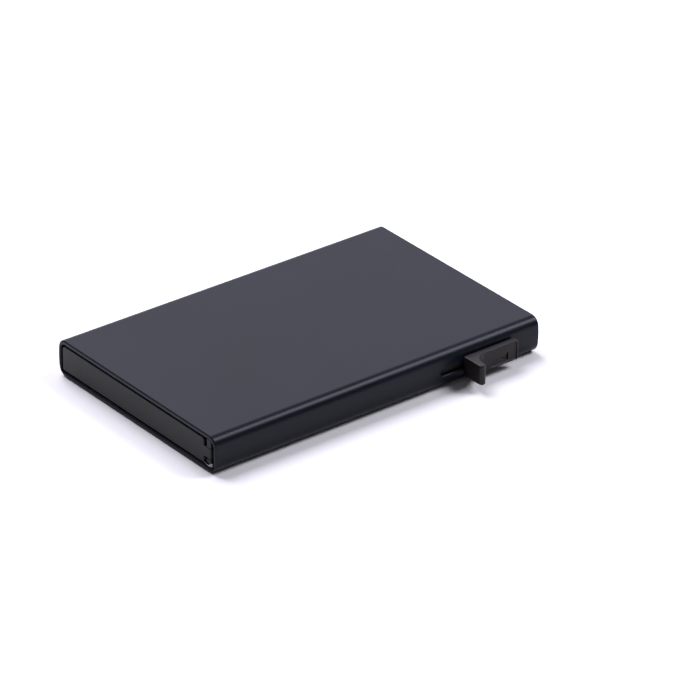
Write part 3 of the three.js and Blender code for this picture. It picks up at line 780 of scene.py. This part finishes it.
def wire(name, points):
    line = bpy.data.meshes.new(name)
    line.from_pydata([tuple(float(v) * MM for v in p) for p in points],
                     [(i, i + 1) for i in range(len(points) - 1)], [])
    made = bpy.data.objects.new(name, line)
    scene.collection.objects.link(made)
    grown(made, wire_rule, {"Wire radius": WIRE_RADIUS * MM, "Section points": 16})
    return face_outward(made)


WIRE_RADIUS = 0.15
COIL_RADIUS = 0.62
COIL_TURNS = 2.25
COIL_PITCH = 0.34
wire_rule = wire_group()
spring_low, spring_high = box_mm("door_spring")
coil_z = spring_low[2] + WIRE_RADIUS
hook_x = pivot_x + 0.05
hook_y = spring_high[1] - WIRE_RADIUS


def bend(points, steps=6):
    """A smooth path through the points."""
    path = []
    pts = [np.array(p, float) for p in points]
    pts = [2 * pts[0] - pts[1]] + pts + [2 * pts[-1] - pts[-2]]
    for a, b, c, d in zip(pts, pts[1:], pts[2:], pts[3:]):
        for k in range(steps):
            t = k / steps
            path.append(0.5 * (2 * b + (c - a) * t + (2 * a - 5 * b + 4 * c - d) * t * t
                               + (3 * b - a - 3 * c + d) * t ** 3))
    return path + [pts[-2]]


coil = []
steps = 40
for i in range(int(COIL_TURNS * steps) + 1):
    turn = math.pi + 2 * math.pi * i / steps
    coil.append((pivot_x + COIL_RADIUS * math.cos(turn), pivot_y + COIL_RADIUS * math.sin(turn),
                 coil_z + COIL_PITCH * i / steps))
end_z = coil[-1][2]
fixed_end = [(pivot_x + 0.3, pivot_y - COIL_RADIUS, end_z),
             (spring_high[0] - 0.12, pivot_y - COIL_RADIUS, end_z)]
settle(wire("spring_coil", coil + fixed_end), "door_spring", body="case")
leg = bend([(pivot_x - COIL_RADIUS, pivot_y + 0.1, coil_z),
            (pivot_x - COIL_RADIUS, pivot_y + COIL_RADIUS, coil_z),
            (pivot_x - COIL_RADIUS + 0.3, (pivot_y + hook_y) / 2, coil_z),
            (hook_x - 0.03, hook_y - 0.25, coil_z + 0.05), (hook_x, hook_y, coil_z + 0.4),
            (hook_x, hook_y, spring_high[2] - 0.02)])
settle(wire("spring_leg", leg), "door_spring")

# %% [markdown]
# ## Thumb slider
# Seen from above, the slider is a long flat plate along the case with a tab that stands out at its exit
# end. The tab's tip is round, and its rear side sweeps into the plate in one arc for the thumb. The outline
# is followed point by point and lofted upwards, drawn in a little at top and bottom, which rounds all the
# edges a finger touches.

# %% Outline of the slider
case_side_y = -widest
PLATE_GAP = 0.45
PLATE_THICKNESS = 1.75
TAB_TIP = 1.8
TAB_TIP_RADIUS = 0.85
TAB_SWEEP_RADIUS = 3.5
PLATE_END_RADIUS = 0.4
plate_low_x, plate_high_x = slider_low[0], slider_high[0]
plate_back_y = case_side_y - PLATE_GAP
plate_face_y = plate_back_y - PLATE_THICKNESS
tab_end_y = slider_low[1]
plate_low_z, plate_high_z = slider_low[2], slider_high[2]

tip_y = tab_end_y + TAB_TIP_RADIUS
sweep_x = plate_low_x + TAB_TIP + TAB_SWEEP_RADIUS
sweep_y = plate_face_y - TAB_SWEEP_RADIUS
sweep_start = math.degrees(math.asin(max(0, (tip_y - sweep_y) / TAB_SWEEP_RADIUS)))
outline = arc((plate_low_x + 0.3, plate_back_y - 0.3), 0.3, 90, 180, 4)
outline += arc((plate_low_x + TAB_TIP_RADIUS, tip_y), TAB_TIP_RADIUS, 180, 270, 12)
outline += arc((plate_low_x + TAB_TIP - TAB_TIP_RADIUS, tip_y), TAB_TIP_RADIUS, 270, 360, 12)
outline += arc((sweep_x, sweep_y), TAB_SWEEP_RADIUS, 180 - sweep_start, 90, 20)
outline += arc((plate_high_x - PLATE_END_RADIUS, plate_face_y + PLATE_END_RADIUS), PLATE_END_RADIUS,
               270, 360, 8)
outline += arc((plate_high_x - 0.3, plate_back_y - 0.3), 0.3, 0, 90, 4)
outline = [p for p, q in zip(outline, outline[1:] + outline[:1]) if math.dist(p, q) > 0.005]
print("slider outline has", len(outline), "points")

# %% [markdown]
# The face of the plate is sunk inside a narrow rim, which keeps the thumb from slipping, and a small plain
# triangle is engraved in it. It points to the exit, so that it shows which way to push.

# %% Plate, tab and engraving


def drawn_in(points, inset):
    """The outline moved inward along its corners."""
    moved = []
    for before, here, after in zip(points[-1:] + points[:-1], points, points[1:] + points[:1]):
        a = np.subtract(here, before)
        b = np.subtract(after, here)
        a, b = a / np.linalg.norm(a), b / np.linalg.norm(b)
        inward = np.array([-a[1] - b[1], a[0] + b[0]])
        inward = inward / np.linalg.norm(inward)
        share = max(0.5, inward @ np.array([-a[1], a[0]]))
        moved.append((here[0] + inward[0] * inset / share, here[1] + inward[1] * inset / share))
    return moved


SLIDER_EDGE = 0.26
plate = loft("slider_plate", edge_rings(plate_low_z, plate_high_z, SLIDER_EDGE,
                                        lambda z, inset: [(x, y, z) for x, y in drawn_in(outline, inset)], 5))

FACE_RECESS = 0.3
FACE_RIM = 0.45
FACE_LEAD = 1.8
ARROW_LENGTH = 2.1
ARROW_HEIGHT = 1.85
ARROW_DEPTH = 0.35
ARROW_INSET = 3.05
ARROW_DROP = 0.8
recess_low_x = plate_low_x + TAB_TIP + TAB_SWEEP_RADIUS + FACE_LEAD


def recess_ring(y, grow):
    return [(x, y, z) for x, z in rounded_rectangle(recess_low_x - grow, plate_high_x - FACE_RIM + grow,
                                                    plate_low_z + FACE_RIM - grow,
                                                    plate_high_z - FACE_RIM + grow, 0.25 + grow, 6)]


recess = loft("recess", [recess_ring(plate_face_y - 0.4, 0.4), recess_ring(plate_face_y + 0.05, 0.03),
                         recess_ring(plate_face_y + 0.22, 0.0),
                         recess_ring(plate_face_y + FACE_RECESS, -0.08)])
arrow_x = plate_high_x - ARROW_INSET
arrow_z = middle_z - ARROW_DROP


def arrow_ring(y, grow):
    half = ARROW_HEIGHT / 2 + 1.4 * grow
    return [(arrow_x - ARROW_LENGTH - 2.2 * grow, y, arrow_z), (arrow_x + grow, y, arrow_z - half),
            (arrow_x + grow, y, arrow_z + half)]


engraved_y = plate_face_y + FACE_RECESS
arrow = loft("arrow", [arrow_ring(engraved_y - 0.3, 0.08), arrow_ring(engraved_y, 0.02),
                       arrow_ring(engraved_y + ARROW_DEPTH, -0.02)])
neck_half = SLOT_HEIGHT / 2 - SLOT_GAP
carriage_low, carriage_high = box_mm("slider_carriage")
neck_bar = loft("neck_bar", [[(x, y, z) for x, z in
                              rounded_rectangle(neck_low_x, neck_high_x, middle_z - neck_half,
                                                middle_z + neck_half, neck_half - 0.001, 12)]
                             for y in (plate_back_y - 0.3, slider_high[1])])
screw_x = (neck_low_x + neck_high_x) / 2
screw_hole = loft("screw_hole", [[(x, y, z) for x, z in arc((screw_x, middle_z), 0.5, 0, 345, 23)]
                                 for y in (plate_back_y - 0.6, 0)])
combined(plate, [neck_bar], "UNION")
combined(plate, [recess, arrow, screw_hole])
settle(plate, "thumb_slider", angle=28)

# %% [markdown]
# ## Carriage and pusher
# Behind the slot a carriage runs in its own channel. A stepped pusher is pinned to it: the steps meet the
# cards one after another, so that they come out as a fan. A strip of rubber stops the carriage quietly.
# All of this is hidden at rest, so the working model's faces with rounded edges are fine enough.

# %% Carriage, pusher and bumper
settle(rounded(copy_of("carriage", "slider_carriage"), 0.08), "slider_carriage")
settle(rounded(copy_of("stepped_pusher", "card_pusher"), 0.08), "card_pusher")
settle(rounded(copy_of("bumper_strip", "slider_bumper"), 0.08), "slider_bumper")

# %% [markdown]
# ## Felt pads
# Two strips of felt inside the exit brake the cards. Felt has loose fibres standing off its surface. They
# are strewn by rule: points are scattered over the pad, and each carries a short, thin, turned fibre. The
# seed is fixed, so that the same fibres come every time.

# %% Pads with strewn fibres


def fibre_group():
    tree, size = node_group("fibres", {"Density": "NodeSocketFloat", "Fibre length": "NodeSocketFloat",
                                       "Fibre radius": "NodeSocketFloat", "Seed": "NodeSocketInt"})
    pad = size["Geometry"]
    spots = pad.node("GeometryNodeDistributePointsOnFaces", Mesh=pad, Density=size["Density"],
                     Seed=size["Seed"])
    fibre = pad.node("GeometryNodeMeshCylinder", Vertices=5, Radius=size["Fibre radius"],
                     Depth=size["Fibre length"])
    turn = tree.nodes.new("FunctionNodeRandomValue")
    turn.data_type = "FLOAT_VECTOR"
    turn.inputs[0].default_value = (1.25, -0.3, 0.0)
    turn.inputs[1].default_value = (1.85, 0.3, 6.28)
    tree.links.new(size["Seed"].socket, turn.inputs["Seed"])
    strewn = spots.node("GeometryNodeInstanceOnPoints", Points=spots, Instance=fibre,
                        Rotation=Wire(tree, turn.outputs[0]))
    joined = tree.nodes.new("GeometryNodeJoinGeometry")
    tree.links.new(strewn.socket, joined.inputs[0])
    tree.links.new(pad.socket, joined.inputs[0])
    end_group(tree, Wire(tree, joined.outputs[0]), felt)
    return tree


fibre_rule = fibre_group()
for seed, (pad_name, node) in enumerate((("lower_felt", "floor_pad"), ("upper_felt", "roof_pad"))):
    felt_strip = rounded(copy_of(pad_name, node), 0.1)
    grown(felt_strip, fibre_rule, {"Density": 1.6e6, "Fibre length": 0.7 * MM, "Fibre radius": 0.012 * MM,
                                   "Seed": 11 + seed})
    settle(felt_strip, node)

# %% [markdown]
# ## Floor and light
# The wallet lies on plain white paper that runs on far past the picture. Two soft boxes hang above: the
# nearer one over the door end gives most of the light, and the one behind the slider's end draws the
# bright line along the rounded long edge. A pale screen behind the wallet mirrors in the top face, which
# makes it lighter than the sides, and the room itself stays dim, so that the sides stay dark.

# %% Floor
FLOOR_REACH = 6.0
floor = new_object("floor", [(sx * FLOOR_REACH / MM, sy * FLOOR_REACH / MM, 0)
                             for sx, sy in ((-1, -1), (1, -1), (1, 1), (-1, 1))], [(0, 1, 2, 3)])
floor_look, floor_place, floor_shader = new_material("floor_paper")
paper = noise(floor_place, 1.2, 3.0, 0.6)
feed(floor_shader, "Base Color", paper.blend((0.865, 0.872, 0.835, 1), (0.895, 0.902, 0.860, 1)))
feed(floor_shader, "Roughness", 0.9)
feed(floor_shader, "Specular IOR Level", 0.2)
floor.data.materials.append(floor_look)

# %% Light
world = bpy.data.worlds.new("studio")
scene.world = world
world.use_nodes = True
STUDIO_WHITE = (0.89, 0.865, 1.0)
world.node_tree.nodes["Background"].inputs["Color"].default_value = STUDIO_WHITE + (1,)
world.node_tree.nodes["Background"].inputs["Strength"].default_value = 0.12


def softbox(name, direction, distance, width, tall, brightness, target=(0, 0, 0)):
    """A rectangular lamp that faces the target, with the given brightness of its front."""
    data = bpy.data.lights.new(name, "AREA")
    data.shape = "RECTANGLE"
    data.size = width
    data.size_y = tall
    data.energy = brightness * math.pi * width * tall
    data.color = STUDIO_WHITE
    lamp = bpy.data.objects.new(name, data)
    scene.collection.objects.link(lamp)
    place = Vector(direction).normalized() * distance
    aim = Vector(target) - place
    lamp.matrix_world = Matrix.Translation(place) @ aim.to_track_quat("-Z", "Y").to_matrix().to_4x4()
    return lamp


softbox("edge_box", (0.57, -0.32, 0.75), 1.2, 0.46, 0.52, 13.0)
softbox("key_box", (-0.04, 0.52, 0.85), 1.2, 0.8, 0.8, 9.2)
softbox("back_screen", (0.62, 0.78, 0.55), 1.6, 1.9, 1.1, 1.55)
scene.view_settings.view_transform = "Standard"
scene.view_settings.look = "None"
print("studio lit")
